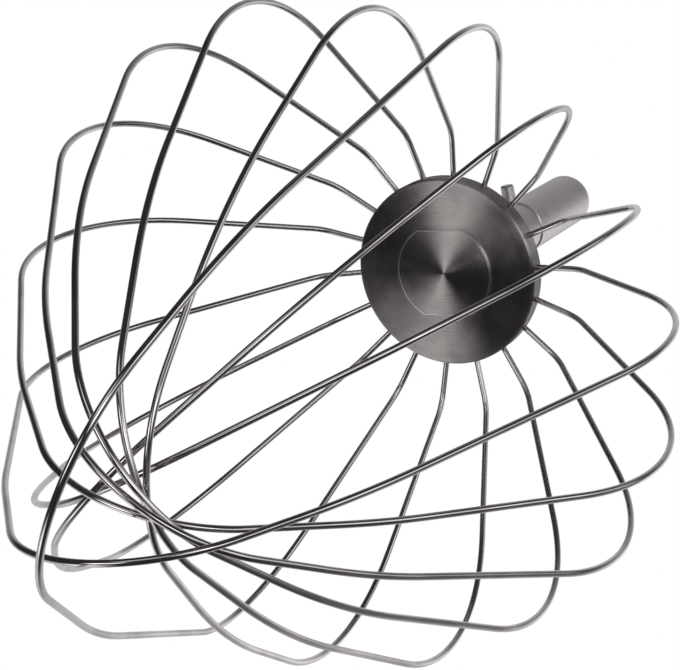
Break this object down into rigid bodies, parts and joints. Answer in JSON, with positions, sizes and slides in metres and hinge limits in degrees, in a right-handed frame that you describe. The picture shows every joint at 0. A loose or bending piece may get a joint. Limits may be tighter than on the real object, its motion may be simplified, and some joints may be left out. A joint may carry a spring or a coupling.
{
  "type": "stand mixer wire whisk",
  "caption": "Balloon whisk for a planetary stand mixer: crossed wire loops in a turned steel hub, with a round shank and a cross pin that locks in the socket.",
  "frame": {"origin": "on the shank's axis, in the middle of the plain stretch between the cross pin and the free end", "axes": "+Z along the axis towards the shank's free end, so the loops hang below; Y along the cross pin"},
  "size_m": [0.1293, 0.1288, 0.2322],
  "materials": {
    "hub_steel": "turned stainless steel with fine concentric marks",
    "shank_steel": "satin stainless steel",
    "wire_steel": "polished stainless wire, lightly rubbed"
  },
  "bodies": {
    "root": {"hub_body": "hub_steel", "hub_cap": "hub_steel", "shank": "shank_steel", "cross_pin": "shank_steel", "wire_loop_1": "wire_steel", "wire_loop_2": "wire_steel", "wire_loop_3": "wire_steel", "wire_loop_4": "wire_steel", "wire_loop_5": "wire_steel", "wire_loop_6": "wire_steel", "wire_loop_7": "wire_steel", "wire_loop_8": "wire_steel", "wire_loop_9": "wire_steel"}
  },
  "joints": []
}
